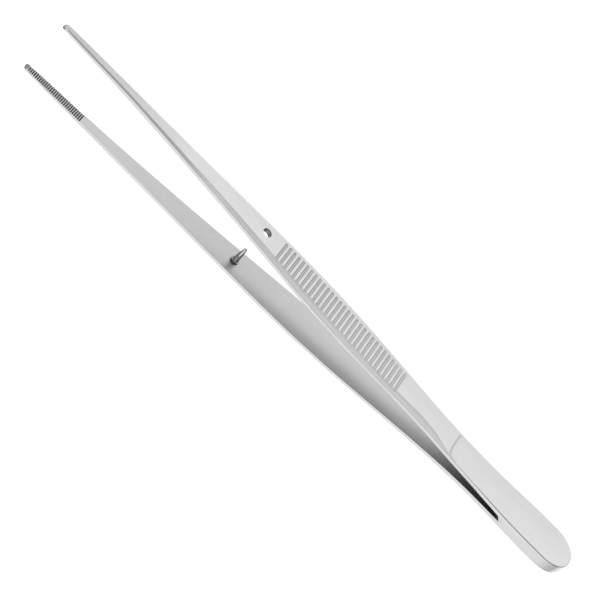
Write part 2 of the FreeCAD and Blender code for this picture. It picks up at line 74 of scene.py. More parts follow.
NOSE_RADIUS, SHOULDER_RADIUS = 5.1, 9.0  # arcs of the heel's outline
STEP_DROP = 0.05  # depth of the ground part
STEP_BOW, STEP_SWOOP = 0.45, 2.6  # how far the step's line bows forward and sweeps back
SWOOP_FROM = 0.82  # share of the half width where it starts to sweep back
CREASE_AT = (-49.0, -43.0, 14.0, 30.0, 60.0, 90.0)
CREASE_IN = (0.0, 0.36, 0.36, 0.3, 0.15, 0.05)  # how far in the wheel takes the bevels' creases
CREASE_SOFT = 0.12  # how much of a bevel its rounded crease takes up
EDGE_AT, EDGE_RADII = (-64.0, -54.0, 60.0, 88.0), (0.20, 0.10, 0.10, 0.07)  # outer edges
INNER_EDGE = 0.06  # radius of the inner edges

# The grip's grooves start this far behind the pin, with their pitch taken along the face,
# which slopes by the splay. The teeth start the margin behind the tip.
GRIP_LEAD, GRIP_PITCH, GRIP_SPLAY = 5.7, 1.492, 0.0655
SHORT_GROOVES, LONG_GROOVES = 4, 26
SHORT_LENGTH, LONG_LENGTH = 7.0, 7.9
GROOVE_WIDTH, GROOVE_DEPTH, GROOVE_BLEND = 0.74, 0.22, 0.035
TOOTH_MARGIN, TOOTH_PITCH, TOOTH_COUNT = 1.5, 0.586, 30
TOOTH_MOUTH, TOOTH_DEPTH = 0.5, 0.26
TIP_ROUND, TIP_NOSE, TIP_SWEEP = 0.95, 2.4, 1.65
TIP_TAPER, TIP_SHARE = 2.6, 0.24  # the last stretch draws in by this share of its width
TIP_CENTRE = HALF_LENGTH - TIP_ROUND
TIP_TILT = math.asin(TIP_SWEEP / TIP_NOSE)  # slope of the outer face at its very end

PIN_SHIFT, HOLE_SHIFT = -0.15, -0.65  # from the middle of the width
PIN_LEAN = 0.68 / 14.0  # slope of the inner face ahead of the pin
BORE_RADIUS, HOLE_RADIUS, HOLE_EDGE = 0.76, 1.23, 0.07
WINDOW_ROOM = 0.45  # how far the hole's window of rings reaches past it
PIN_LENGTH, PIN_CLEAR = 5.4, 0.01  # ahead of the inner face, and room under its collar
COLLAR_RADIUS, COLLAR_HEIGHT, COLLAR_EDGE = 1.15, 0.45, 0.09
CONE_RADIUS, CONE_END, FLARE_OUT, FLARE_UP = 0.80, 0.48, 0.12, 0.16
SHANK_RADIUS, SHANK_LENGTH = 0.75, 1.41

# How the mesh is shared out: how far into the grid the round ends, the step's bow and the
# slot's slant reach, the largest share of the width that the flat face may take, and how far
# the closer rows reach round the slot's end, the step and the hole.
HEEL_SPREAD, TIP_SPREAD, STEP_SPREAD, SLOT_SPREAD = 14.0, 1.2, 9.0, 3.0
WIDEST_FACE = 0.97
NEAR_SLOT, NEAR_STEP, NEAR_HOLE = 2.0, 6.0, 1.9

# Painted shade on the steel, from 0 for none to 1 for black. Each row of a list
# of rises is a height, and where along the arm it starts and is complete.
# Painted shade in the grip's grooves: at their bottom, more of it towards the pin, and most on
# their steep walls.
GROOVE_SHADE, GROOVE_RISES = 0.13, ((0.11, -30.0, 16.0),)
GROOVE_WALL_SHADE = 1.5
# Painted shade on the upper bevels, darkest beside their crease and fading from there to the side.
BEVEL_PAINTED_SHADE, BEVEL_SHADE_FADE, BEVEL_FADE_RISES = 0.31, 0.12, ((0.06, 20.0, 40.0), (0.14, 50.0, 62.0))
# Painted shade on the outer face ahead of the step: darker towards the tips, and darkest on the
# tip's end.
OUTER_RISES = ((0.09, 45.0, 55.0), (0.1, 57.0, 70.0), (0.07, 76.0, 82.0), (0.3, 89.2, 89.9))
# Painted shade on the inner faces: a little all over, more ahead of the grip, and most on the
# tips' end.
INNER_SHADE, INNER_RISES = 0.07, ((0.14, -20.0, 35.0), (0.6, 88.5, 89.2))
# Painted shade in the teeth's grooves, and less of it over the toothed part.
TOOTH_SHADE, TOOTH_BRIGHT = 0.9, 0.1  # in the teeth's grooves, and how much less around them
# Painted shade between the springs, deepest at the slot's end.
SPRING_SHADE, SPRING_FADE = 0.5, 26.0  # between the springs, and how far it takes to fade
# Painted shade beside the upper edge of the broad part's inner face.
UPPER_SHADE = 0.15  # beside the upper edge of the broad part's inner face
# Painted shade on the side walls beside the heel and the tips, and on the tips' end.
SIDE_SHADE, SIDE_RISES = 0.06, ((0.8, 88.9, 89.6),)
# Painted shade along the step's line and along the rounded outer and inner edges.
STEP_SHADE, EDGE_SHADE, INNER_EDGE_SHADE = 0.32, 0.32, 0.25
HEEL_EDGE_SHADE = 0.38  # how much darker the outer edges are behind the step
# Painted shade on the hole's rounded edge and down its wall.
HOLE_EDGE_SHADE, HOLE_WALL_SHADE = 0.85, 0.6
# Painted shade on the collar's wall and rounded edge, and in the corner where it flares into the
# cone.
COLLAR_SHADE, FLARE_SHADE = 0.92, 0.45
# Below zero, polish also lightens the inner faces' colour a little: painted light.
INNER_POLISH = -0.6  # the inner faces are left less smooth


def ease(x, start, stop):
    """0 before start, 1 after stop, and a smooth rise of the form 3t^2 - 2t^3 between."""
    t = np.clip((x - start) / (stop - start), 0, 1)
    return t * t * (3 - 2 * t)


def add_up(rises, x):
    """The sum of eased rises at x, each given as its height, its start and its stop."""
    return sum(height * ease(x, start, stop) for height, start, stop in rises)


def soft_min(a, b, reach):
    """The lower of two surfaces, with the corner between them rounded over reach."""
    near = np.clip(reach - np.abs(a - b), 0, None) / reach
    return np.minimum(a, b) - near**2 * reach / 4


def places():
    """Where each section stands: the running sum of the spacings, with the middle at zero and
    the last section moved past the end."""
    along = np.cumsum([SECTIONS[name][0] for name in NAMES]) - HALF_LENGTH
    along[-1] += END_REACH
    return along


def column(index, first):
    """One column of the table from the section called first on, with where each one stands."""
    start = NAMES.index(first)
    values = np.array([SECTIONS[name][index] for name in NAMES[start:]], float)
    return places()[start:], values


def natural_curve(at, values):
    """A smooth function through points: on each span the cubic whose second derivative runs
    straight between the two knots' own, and these solve the usual three-term equations."""
    at, values = np.asarray(at, float), np.asarray(values, float)
    gaps, slopes = np.diff(at), np.diff(values) / np.diff(at)
    inside = np.arange(1, len(at) - 1)
    left = np.eye(len(at))
    left[inside, inside - 1], left[inside, inside + 1] = gaps[:-1], gaps[1:]
    left[inside, inside] = 2 * (gaps[:-1] + gaps[1:])
    right = np.zeros(len(at))
    right[inside] = 6 * np.diff(slopes)
    bend = np.linalg.solve(left, right)

    def curve(x):
        """The function's value at x."""
        x = np.asarray(x, float)
        k = np.clip(np.searchsorted(at, x) - 1, 0, len(gaps) - 1)
        a, b, h = at[k + 1] - x, x - at[k], gaps[k]
        cubic = (bend[k] * a**3 + bend[k + 1] * b**3) / (6 * h)
        start = (values[k] / h - bend[k] * h / 6) * a
        stop = (values[k + 1] / h - bend[k + 1] * h / 6) * b
        return cubic + start + stop

    return curve


def heel_run(at, values):
    """The same points with two more behind them, so that the heel stays straight."""
    heel = -HALF_LENGTH - END_REACH
    before = [heel, (heel + at[0]) / 2]
    return np.concatenate([before, at]), np.concatenate([[values[0]] * 2, values])


panel_on, rise = column(1, "panel")
root_on, thickness = column(2, "root")
outer_curve = natural_curve(*heel_run(panel_on, np.cumsum(rise)))
width_curve = natural_curve(*heel_run(*column(3, "panel")))
gap_curve = natural_curve(root_on, np.cumsum(rise)[1:] - thickness)
face_curve = natural_curve(*column(4, "step"))
bevel_curve = natural_curve(*column(5, "step"))
PLACE = dict(zip(NAMES, places()))
ROOT_GAP = float(gap_curve(PLACE["root"]))
STEP_RATIO = SECTIONS["step"][4] / SECTIONS["step"][3]
GROOVE_RADIUS = ((GROOVE_WIDTH / 2) ** 2 + GROOVE_DEPTH**2) / (2 * GROOVE_DEPTH)

# heel outline: centres of the nose arc and of the shoulder arcs, and where they touch
NOSE_X = NOSE_RADIUS - HALF_LENGTH
SIDE_X = NOSE_X + math.sqrt(
    (SHOULDER_RADIUS - NOSE_RADIUS) ** 2 - (SHOULDER_RADIUS - FLAT_HALF) ** 2
)
TOUCH_COS = (SIDE_X - NOSE_X) / (SHOULDER_RADIUS - NOSE_RADIUS)
HEEL_CORNER = NOSE_X - NOSE_RADIUS * TOUCH_COS


def half_width(x):
    """Half the outline's width: the shoulder arc at the heel, the flat sides at the broad
    places, and otherwise half the section's width, which draws in at the very tip."""
    arc = SHOULDER_RADIUS**2 - np.clip(SIDE_X - x, 0, None) ** 2
    heel = FLAT_HALF - SHOULDER_RADIUS + np.sqrt(np.clip(arc, 0, None))
    drawn = 1 - TIP_SHARE * ease(x, HALF_LENGTH - TIP_TAPER, HALF_LENGTH)
    return np.minimum(np.minimum(width_curve(x) / 2 * drawn, FLAT_HALF), heel)


def tip_corner():
    """Where the tip's round end, seen on its flat, leaves the sides: the first place where the
    circle is narrower than the outline."""
    x = np.linspace(TIP_CENTRE, HALF_LENGTH, 400)
    circle = np.sqrt(np.clip(TIP_ROUND**2 - (x - TIP_CENTRE) ** 2, 0, None))
    return float(x[np.argmax(half_width(x) > circle)])


def face_half(x):
    """Half the width of the flat outer face, carried on behind the step as a share. The wheel
    takes each bevel's crease a little further in than the section does."""
    face = np.where(x < PLACE["step"], width_curve(x) / 2 * STEP_RATIO, face_curve(x) / 2)
    return face - np.interp(x, CREASE_AT, CREASE_IN)


def bevel_drop(x):
    """How far the bevels go down at the side, fading out behind the step."""
    fade = np.clip(1 - (PLACE["step"] - x) / (STEP_SWOOP + 1), 0, 1)
    return np.where(x < PLACE["step"], SECTIONS["step"][5] * fade, bevel_curve(x))


def bevel_place(x, z):
    """How far across a bevel a point stands: 0 at its crease and 1 at the side."""
    face = face_half(x)
    return (np.abs(z) - face) / (width_curve(x) / 2 - face)


def bevel_share(t):
    """How much of its drop a bevel has reached. The crease is rounded by the wheel: the rise is
    a branch of a hyperbola, sqrt(t^2 + s^2) + t, scaled to reach 1 at the side, whose two
    straight lines are the face and the bevel."""
    return (np.sqrt(t**2 + CREASE_SOFT**2) + t) / (math.sqrt(1 + CREASE_SOFT**2) + 1)


def step_line(turn):
    """How far the step's line stands ahead of its middle place: it bows towards the tips as a
    parabola of the share of the width, and sweeps back to the heel beside each edge."""
    beside = np.clip((np.abs(turn) - SWOOP_FROM) / (1 - SWOOP_FROM), 0, 1)
    return STEP_BOW * (1 - turn**2) - STEP_SWOOP * beside**1.5


def grooves():
    """Place and length of every grip groove, from the guide pin towards the heel."""
    first = PLACE["guide"] - GRIP_LEAD
    step = GRIP_PITCH * math.cos(math.atan(GRIP_SPLAY))
    short = first - step * np.arange(SHORT_GROOVES)
    long = first - GRIP_PITCH * SHORT_GROOVES - step * np.arange(LONG_GROOVES)
    lengths = np.repeat([SHORT_LENGTH, LONG_LENGTH], [SHORT_GROOVES, LONG_GROOVES])
    return np.concatenate([short, long]), lengths


def cut_grooves(x, z, y):
    """Sinks every groove into the surface y: a capsule across the arm, which is a cylinder with
    half a ball at each end. Returns the new surface and the painted shade in the cut: darkest
    where its wall is steep, and lighter at its bottom, the more so further back."""
    floor, steep = np.full_like(y, np.inf), np.zeros_like(y)
    for place, length in zip(*grooves()):
        past = np.clip(np.abs(z) - (length / 2 - GROOVE_RADIUS), 0, None)
        away = np.hypot(x - place, past)
        centre = outer_curve(place) - STEP_DROP + GROOVE_RADIUS - GROOVE_DEPTH
        ball = centre - np.sqrt(np.clip(GROOVE_RADIUS**2 - away**2, 0, None))
        inside = away < GROOVE_RADIUS
        floor = np.where(inside, np.minimum(floor, ball), floor)
        steep = np.where(inside, away / GROOVE_RADIUS, steep)
    cut = soft_min(y, np.where(np.isinf(floor), y + 1, floor), GROOVE_BLEND)
    # painted shade in the cut, darkest where its wall is steep
    bottom = GROOVE_SHADE + add_up(GROOVE_RISES, x)
    return cut, ease(y - cut, 0.0, 0.03) * (bottom + GROOVE_WALL_SHADE * steep**3)


def outer_surface(x, z, ahead):
    """Height of the outer face: the section curve behind the step, and ahead of it the ground
    face with its bevels, less the grooves and the rounding at the tip. Returns it with the
    painted shade on it: in the grooves, on the bevels along the upper edge beside their crease,
    and darker towards the tips."""
    raw = outer_curve(x)
    t = bevel_place(x, z)
    ground = raw - STEP_DROP - bevel_drop(x) * bevel_share(t)
    y, cuts = cut_grooves(x, z, np.where(ahead, ground, raw))
    # Painted shade on the upper bevels beside their crease, with less of it towards the side.
    painted_crease_shade = BEVEL_PAINTED_SHADE * ease(t, -0.14, 0.1) * (1 - ease(x, 28, 56))
    less_shade = (BEVEL_SHADE_FADE + add_up(BEVEL_FADE_RISES, x)) * ease(t, 0.0, 0.8)
    bevel = (painted_crease_shade - less_shade) * ease(z, 0, 0.5)
    # painted shade: the cuts or the upper bevels, and darker towards the tips
    shade = np.where(ahead, np.maximum(cuts, bevel) + add_up(OUTER_RISES, x), 0.0)
    past = np.clip(x - HALF_LENGTH + TIP_SWEEP, 0, TIP_SWEEP)
    top = float(outer_curve(PLACE["tip"])) - STEP_DROP
    nose = top - TIP_NOSE + np.sqrt(TIP_NOSE**2 - past**2)
    return np.where(past > 0, np.minimum(y, nose), y), shade


def inner_surface(x, z, tooth_start):
    """Height of the inner face: the gap curve, with V-shaped cross grooves inside the tips.
    Returns it with the painted shade on it: a little all over and more ahead, in the teeth's
    grooves, on the tips' end, between the springs behind, and along the upper edge of the
    broad part."""
    y = np.where(x < PLACE["root"], ROOT_GAP, gap_curve(x))
    index = np.clip(np.round((tooth_start - x) / TOOTH_PITCH), 0, TOOTH_COUNT - 1)
    away = np.abs(x - (tooth_start - index * TOOTH_PITCH))
    cut = np.clip(1 - away / (TOOTH_MOUTH / 2), 0, 1)
    last_tooth = tooth_start - TOOTH_PITCH * TOOTH_COUNT
    # painted shade on the inner face and in the teeth's grooves
    shade = INNER_SHADE + add_up(INNER_RISES, x) + TOOTH_SHADE * cut**0.75
    shade = shade - TOOTH_BRIGHT * ease(x, last_tooth, tooth_start - 16.5)
    shade = shade + SPRING_SHADE * (1 - ease(x, PLACE["root"], PLACE["root"] + SPRING_FADE))
    broad = ease(x, -46.0, -28.0) * (1 - ease(x, 5.0, 35.0))
    shade = shade + UPPER_SHADE * ease(z, 0.5, 4.5) * broad
    return y + TOOTH_DEPTH * cut, np.clip(shade, 0, 1)


ZONES = ("polish", "shade")  # how smooth the wheel left it, with a little painted shade, and the painted shade in cuts, corners and along edges


class Shell:
    """Collects points and faces of one closed surface."""

    def __init__(self):
        self.points, self.marks, self.faces, self.count = [], [], [], 0

    def add(self, x, y, z, **marks):
        """Adds points and returns their numbers in the same layout. Marks are the zones: polish,
        which also paints a little shade, and painted shade.
        """
        x, y, z = np.broadcast_arrays(x, y, z)
        self.points.append(np.stack([x, y, z], -1).reshape(-1, 3))
        zones = [np.broadcast_to(marks.get(name, 0.0), x.shape).ravel() for name in ZONES]
        self.marks.append(np.stack(zones, -1))
        numbers = np.arange(self.count, self.count + x.size).reshape(x.shape)
        self.count += x.size
        return numbers

    def quads(self, a, b, c, d, keep=None):
        """Faces through four arrays of point numbers."""
        made = np.stack([a, b, c, d], -1).reshape(-1, 4)
        self.faces.append(made if keep is None else made[keep.ravel()])

    def sheet(self, grid, keep=None, turned=False):
        """A face for each cell of a grid of point numbers."""
        a, b, c, d = grid[:-1, :-1], grid[:-1, 1:], grid[1:, 1:], grid[1:, :-1]
        self.quads(*((a, d, c, b) if turned else (a, b, c, d)), keep=keep)

    def band(self, upper, lower, keep=None, turned=False):
        """Faces between two closed rows of point numbers."""
        a, b, c, d = upper, lower, np.roll(lower, -1), np.roll(upper, -1)
        self.quads(*((a, d, c, b) if turned else (a, b, c, d)), keep=keep)

    def piece(self, name, side=1):
        """A mesh object in metres, mirrored across the middle plane where side is -1."""
        points = np.concatenate(self.points) * MM
        marks = np.concatenate(self.marks)
        faces = np.concatenate(self.faces)
        if side < 0:
            points[:, 1] *= -1
            faces = faces[:, ::-1]
        used, faces = np.unique(faces, return_inverse=True)
        faces = faces.reshape(-1, 4)
        mesh = bpy.data.meshes.new(name)
        mesh.from_pydata(points[used].tolist(), [], faces.tolist())
        for index, zone in enumerate(ZONES):
            layer = mesh.attributes.new(zone, "FLOAT", "POINT")
            layer.data.foreach_set("value", marks[used, index].astype(np.float32))
        mesh.shade_smooth()
        mesh.set_sharp_from_angle(angle=math.radians(35))
        mesh.update()
        made = bpy.data.objects.new(name, mesh)
        bpy.context.scene.collection.objects.link(made)
        return made


def run(start, stop, spacing):
    """Evenly spaced places from start up to but not including stop."""
    count = max(1, round((stop - start) / spacing))
    return np.linspace(start, stop, count, endpoint=False)


def arm_columns(slot_floor, tooth_start):
    """Where the cross rows of an arm's mesh stand: close together at the heel's round, the
    slot's end, the step, each groove, the hole and each tooth, and wide apart between them."""
    step, guide, corner = PLACE["step"], PLACE["guide"], tip_corner()
    across = np.array([-1.12, -0.97, -0.8, -0.45, 0, 0.45, 0.8, 0.97, 1.12]) * GROOVE_WIDTH / 2
    ribs = np.sort(grooves()[0])[:, None] + np.append(across, GRIP_PITCH / 2)
    tooth_at = tooth_start - TOOTH_PITCH * np.arange(TOOTH_COUNT)[::-1]
    teeth = tooth_at[:, None] + TOOTH_MOUTH / 2 * np.array([-1.0, -0.5, -0.08, 0.08, 0.5, 1.0])
    ribs, teeth = ribs.ravel(), teeth.ravel()
    hole = np.linspace(guide - NEAR_HOLE, guide + NEAR_HOLE, 17)
    return np.concatenate(
        [
            run(HEEL_CORNER, SIDE_X, 0.45),
            run(SIDE_X, slot_floor - NEAR_SLOT, 0.9),
            run(slot_floor - NEAR_SLOT, slot_floor, 0.4),
            run(slot_floor, slot_floor + NEAR_SLOT, 0.4),
            run(slot_floor + NEAR_SLOT, step - NEAR_STEP, 0.9),
            run(step - NEAR_STEP, step - 0.4, 0.45),
            [step - 0.4, step - 0.03, step + 0.03, step + 0.4],
            run(step + 0.8, step + NEAR_STEP, 0.5),
            run(step + NEAR_STEP, ribs[0] - 0.4, 1.0),
            [ribs[0] - 0.4],
            ribs,
            run(ribs[-1] + 0.5, hole[0], 0.6),
            hole,
            run(hole[-1] + 0.6, teeth[0] - 0.4, 1.25),
            [teeth[0] - 0.4],
            teeth,
            run(teeth[-1] + 0.08, corner - 0.12, 0.1),
            [corner - 0.1, corner - 0.05, corner],
        ]
    )


def arm_rows():
    """How the lengthwise rows of an arm's mesh share out its width: 0 is the middle, 1 the
    crease beside the flat face and 2 the side, with close rows where the grooves end."""
    middle = np.linspace(0, 0.78, 8)
    ends = np.linspace(0.80, 1.0, 9)
    bevel = 1 + np.concatenate([np.linspace(0.03, 0.24, 6), [0.36, 0.5, 0.68, 0.86, 1.0]])
    half = np.concatenate([middle, ends, bevel])
    return np.concatenate([-half[:0:-1], half])


def outline_of(x):
    """Point and outward direction of the outline at each column, on the +Z side. The first one
    takes its direction from where the heel's arcs touch."""
    reach = 0.01
    slope = (half_width(x + reach) - half_width(x - reach)) / (2 * reach)
    slope[0] = TOUCH_COS / math.sqrt(1 - TOUCH_COS**2)
    size = np.sqrt(1 + slope**2)
    return np.stack([x, half_width(x)], -1), np.stack([-slope / size, 1 / size], -1)


def bulge(turn, radius, half):
    """How far an arc stands out past its chord, at a share of half the chord."""
    return np.sqrt(radius**2 - (turn * half) ** 2) - math.sqrt(radius**2 - half**2)


def once_round(i0, i1, j0, j1):
    """Row and column numbers of the border of a block of grid points, once round it."""
    long, wide = i1 - i0, j1 - j0
    i = [np.full(wide, i0), np.arange(i0, i1), np.full(wide, i1), np.arange(i1, i0, -1)]
    j = [np.arange(j0, j1), np.full(long, j1), np.arange(j1, j0, -1), np.full(long, j0)]
    return np.concatenate(i), np.concatenate(j)


def either_side(line, middle, clear):
    """Numbers of the two places on a line that come nearest to clear on each side of middle."""
    return [int(np.argmin(np.abs(line - (middle + side * clear)))) for side in (-1, 1)]


class Arm:
    """One arm as a plate: a grid of points over its outline, given one height for the outer face
    and one for the inner face, and joined round the outline by rounded edges and a side wall.
    Behind the slot the inner face is the flat joint on the middle plane, and the slot's end
    slants between its mouth there and its floor."""

    def __init__(self, hole_radius, hole_shift, tooth_start, slot_mouth, slot_floor):
        self.shell, self.at = Shell(), arm_columns(slot_floor, tooth_start)
        self.slot_floor, self.slant = slot_floor, slot_mouth - slot_floor
        self.slot = int(np.argmin(np.abs(self.at - slot_floor)))
        self.lay_out_plan()
        self.add_points(tooth_start)
        self.find_border()
        self.round_outer_edge()
        self.round_inner_edge()
        self.close_slot_end()
        self.add_sheets(hole_radius, hole_shift)
        self.shell.points = [points + [0, 0, MID_WIDTH] for points in self.shell.points]

    def lay_out_plan(self):
        """Seen on its flat: the side points, set in from the outline by what the rounded edge
        takes, with the rows between them. The cross rows bulge at the heel and at the tip, and
        bow at the step, and each of these fades into the grid."""
        at, rows, step = self.at, arm_rows(), PLACE["step"]
        side_points, self.side_out = outline_of(at)
        self.edge = np.interp(at, EDGE_AT, EDGE_RADII)
        tilt = np.arctan(bevel_drop(at) / (width_curve(at) / 2 - face_half(at)))
        self.tilt = np.where(at > step, tilt, 0.0)
        inset = self.edge * (1 - np.sin(self.tilt))
        rim = side_points - self.side_out * inset[:, None]
        heel_in = NOSE_RADIUS - inset[0]
        tip_in = TIP_ROUND - self.edge[-1] * (1 - math.sin(TIP_TILT))
        rim[-1, 1] = math.sqrt(tip_in**2 - (rim[-1, 0] - TIP_CENTRE) ** 2)
        rim_x, rim_z = rim[:, :1], rim[:, 1:]
        face = np.minimum(face_half(rim_x), rim_z * WIDEST_FACE)
        share = np.abs(rows)
        z = np.minimum(share, 1) * face + np.clip(share - 1, 0, 1) * (rim_z - face)
        self.z = z * np.sign(rows)
        turn = self.z / rim_z
        heel_fade = np.clip(1 - (at - HEEL_CORNER) / HEEL_SPREAD, 0, 1)[:, None] ** 1.5
        tip_fade = np.clip(1 - (rim_x[-1] - rim_x) / TIP_SPREAD, 0, 1)
        step_fade = np.clip(1 - np.abs(at - step) / STEP_SPREAD, 0, 1)[:, None]
        x = rim_x - heel_fade * bulge(turn, heel_in, rim[0, 1])
        self.x = x + tip_fade * bulge(turn, tip_in, rim[-1, 1]) + step_fade * step_line(turn)

    def slanted(self, at):
        """How far the joint's points move along, to follow the slant of the slot's end."""
        return self.slant * np.clip(1 - (self.slot_floor - at) / SLOT_SPREAD, 0, 1)

    def add_points(self, tooth_start):
        """Adds the grid's points at the heights of the outer face and of the inner face, which
        starts at the slot's end, and behind that the joint's points."""
        x, z, front = self.x, self.z, slice(self.slot, None)
        ahead = np.broadcast_to((self.at > PLACE["step"])[:, None], x.shape)
        self.top_y, top_shade = outer_surface(x, z, ahead)
        self.low_y, low_shade = inner_surface(x, z, tooth_start)
        # Painted shade along the step's line.
        at_step = np.abs(self.at - PLACE["step"]) < 0.1
        top_shade = np.maximum(top_shade, STEP_SHADE * at_step[:, None])
        self.top = self.shell.add(x, self.top_y, z, shade=top_shade)
        self.inner = np.full(x.shape, -1)
        self.inner[front] = self.shell.add(
            x[front], self.low_y[front], z[front], shade=low_shade[front], polish=INNER_POLISH
        )
        joint_x = (x + self.slanted(self.at)[:, None])[: self.slot + 1]
        self.joint = self.shell.add(joint_x, 0.0, z[: self.slot + 1])

    def find_border(self):
        """The grid's border, once round: its points, the way out from each, the outer face's
        slope there, and the polish and the painted shade of the side below."""
        long, wide = self.x.shape
        self.i, self.j = i, j = once_round(0, long - 1, 0, wide - 1)
        self.border_x, self.border_z = self.x[i, j], self.z[i, j]
        tip_end = i == long - 1
        out = self.side_out[i] * np.stack([np.ones(len(i)), np.where(j == 0, -1.0, 1.0)], -1)
        centre = np.where(i == 0, NOSE_X, TIP_CENTRE)
        radial = np.stack([self.border_x - centre, self.border_z], -1)
        radial /= np.linalg.norm(radial, axis=1)[:, None]
        self.out_x, self.out_z = np.where(((i == 0) | tip_end)[:, None], radial, out).T
        self.border_tilt = np.where(tip_end, TIP_TILT, self.tilt[i])
        at = self.at[i]
        self.shine = ease(at, self.slot_floor, self.slot_floor + 6) * (1 - ease(at, 60, 80))
        # Painted shade on the side wall away from its smooth band, and on the tip's end.
        self.shade = SIDE_SHADE * (1 - self.shine) + add_up(SIDE_RISES, self.border_x)

    def round_outer_edge(self):
        """Rings of points that turn from the outer face's slope to the side, and then the foot
        of the side wall."""
        radius, tilt, behind = self.edge[self.i], self.border_tilt, PLACE["step"] - 3
        # Painted shade on the rounded outer edge, more of it behind the step.
        edge_shade = EDGE_SHADE + HEEL_EDGE_SHADE * (1 - ease(self.at[self.i], behind, behind + 3))
        ring_above = self.top[self.i, self.j]
        for part in np.linspace(0.25, 1, 4):
            angle = tilt + (math.pi / 2 - tilt) * part
            move = radius * (np.sin(angle) - np.sin(tilt))
            drop = radius * (np.cos(tilt) - np.cos(angle))
            ring = self.shell.add(
                self.border_x + self.out_x * move,
                self.top_y[self.i, self.j] - drop,
                self.border_z + self.out_z * move,
                polish=part * self.shine,
                shade=np.maximum(self.shade, edge_shade * (part < 0.9)),
            )
            self.shell.band(ring_above, ring)
            ring_above = ring
        self.to_side = radius * (1 - np.sin(tilt))
        self.side_x = self.border_x + self.out_x * self.to_side
        self.side_z = self.border_z + self.out_z * self.to_side
        self.foot_rise = INNER_EDGE * np.clip((self.at[self.i] - self.slot_floor) / 3, 0, 1)
        foot_y = self.low_y[self.i, self.j] + self.foot_rise
        self.foot = self.add_side(self.side_x, foot_y)
        self.shell.band(ring_above, self.foot)

    def add_side(self, x, y):
        """Adds a ring of points on the side wall."""
        return self.shell.add(x, y, self.side_z, polish=self.shine, shade=self.shade)

    def round_inner_edge(self):
        """Past the foot: rounded inner edges ahead of the slot, and behind it the rest of the
        wall down to the middle plane and the joint's border there."""
        i, slot = self.i, self.slot
        ahead = (i >= slot) & (np.roll(i, -1) >= slot)
        behind = (i <= slot) & (np.roll(i, -1) <= slot)
        shift = self.slanted(self.at[i])
        self.high, self.low = [self.foot], [self.add_side(self.side_x + shift, 0.0)]
        self.shell.band(self.foot, self.low[0], keep=behind)
        for part in (1 / 3, 2 / 3, 1):
            angle = part * math.pi / 2
            inward = self.to_side * (1 - math.cos(angle))
            x, z = self.side_x - self.out_x * inward, self.side_z - self.out_z * inward
            y = self.low_y[i, self.j] + self.foot_rise * (1 - math.sin(angle))
            if part < 1:
                polish = self.shine * (1 - part)
                # Painted shade along the rounded inner edge.
                ring = self.shell.add(x, y, z, polish=polish, shade=INNER_EDGE_SHADE)
                low_ring = self.shell.add(x + shift, 0.0, z, shade=INNER_EDGE_SHADE)
            else:
                ring, low_ring = self.inner[i, self.j], self.joint[np.minimum(i, slot), self.j]
            self.shell.band(self.high[-1], ring, keep=ahead)
            self.shell.band(self.low[-1], low_ring, keep=behind)
            self.high.append(ring)
            self.low.append(low_ring)

    def close_slot_end(self):
        """The slot's end: a wall that slants from the joint up to the inner face."""
        at_slot = self.i == self.slot
        start = np.flatnonzero(at_slot & (self.j == 0))[0]
        stop = np.flatnonzero(at_slot & (self.j > 0))[0]
        rows = []
        for rings, middle in ((self.low, self.joint), (self.high, self.inner)):
            one_side = [ring[start] for ring in rings[:-1]]
            other_side = [ring[stop] for ring in rings[-2::-1]]
            rows.append(np.concatenate([one_side, middle[self.slot], other_side]))
        self.shell.sheet(np.stack(rows), turned=True)

    def add_sheets(self, hole_radius, hole_shift):
        """The faces over the grid, all but a window of cells, and the hole in that window."""
        clear = hole_radius + WINDOW_ROOM
        i0, i1 = either_side(self.at, PLACE["guide"], clear)
        j0, j1 = either_side(self.z[(i0 + i1) // 2], hole_shift, clear)
        keep = np.ones((self.x.shape[0] - 1, self.x.shape[1] - 1), bool)
        keep[i0:i1, j0:j1] = False
        self.shell.sheet(self.top, keep=keep)
        self.shell.sheet(self.inner[self.slot :], keep=keep[self.slot :], turned=True)
        self.shell.sheet(self.joint, turned=True)
        window = once_round(i0, i1, j0, j1)
        x, z, top, low = (grid[window] for grid in (self.x, self.z, self.top, self.inner))
        cut_hole(self.shell, x, z, top, low, hole_radius, hole_shift)


def cut_hole(shell, x, z, top, low, radius, shift):
    """A round hole that leans with the inner face: each point of the window's border has a ray
    to the hole's middle, rings stand along the rays on the surface, and then the hole's edge
    turns through a quarter circle into the wall."""
    middle = PLACE["guide"]
    thick = float(outer_curve(middle) - gap_curve(middle)) - STEP_DROP
    outer_lean = -PIN_LEAN * thick
    rim = radius + HOLE_EDGE
    rings = {"top": [top], "low": [low]}
    for face, lean in (("top", outer_lean), ("low", 0.0)):
        ray = np.stack([x - middle - lean, z - shift], -1)
        far = np.linalg.norm(ray, axis=1)
        ray /= far[:, None]
        steps = [(rim + (far - rim) * part, 0.0) for part in (0.6, 0.28)]
        for angle in np.linspace(0, math.pi / 2, 5):
            steps.append((rim - HOLE_EDGE * math.sin(angle), HOLE_EDGE * (1 - math.cos(angle))))
        for reach, sink in steps:
            at_x = middle + lean + ray[:, 0] * reach
            at_z = shift + ray[:, 1] * reach
            if face == "top":
                height = outer_surface(at_x, at_z, True)[0] - sink
            else:
                height = gap_curve(at_x) + sink
            # Painted shade on the hole's edge, deepening towards the wall.
            shade = HOLE_EDGE_SHADE * sink / HOLE_EDGE
            rings[face].append(shell.add(at_x, height, at_z, shade=shade))
    points = np.concatenate(shell.points)
    halfway = (points[rings["top"][-1]] + points[rings["low"][-1]]) / 2
    # Painted shade halfway down the hole's wall.
    waist = shell.add(*halfway.T, shade=HOLE_WALL_SHADE)
    down = rings["top"] + [waist] + rings["low"][::-1]
    for one, other in zip(down, down[1:]):
        shell.band(one, other, turned=True)


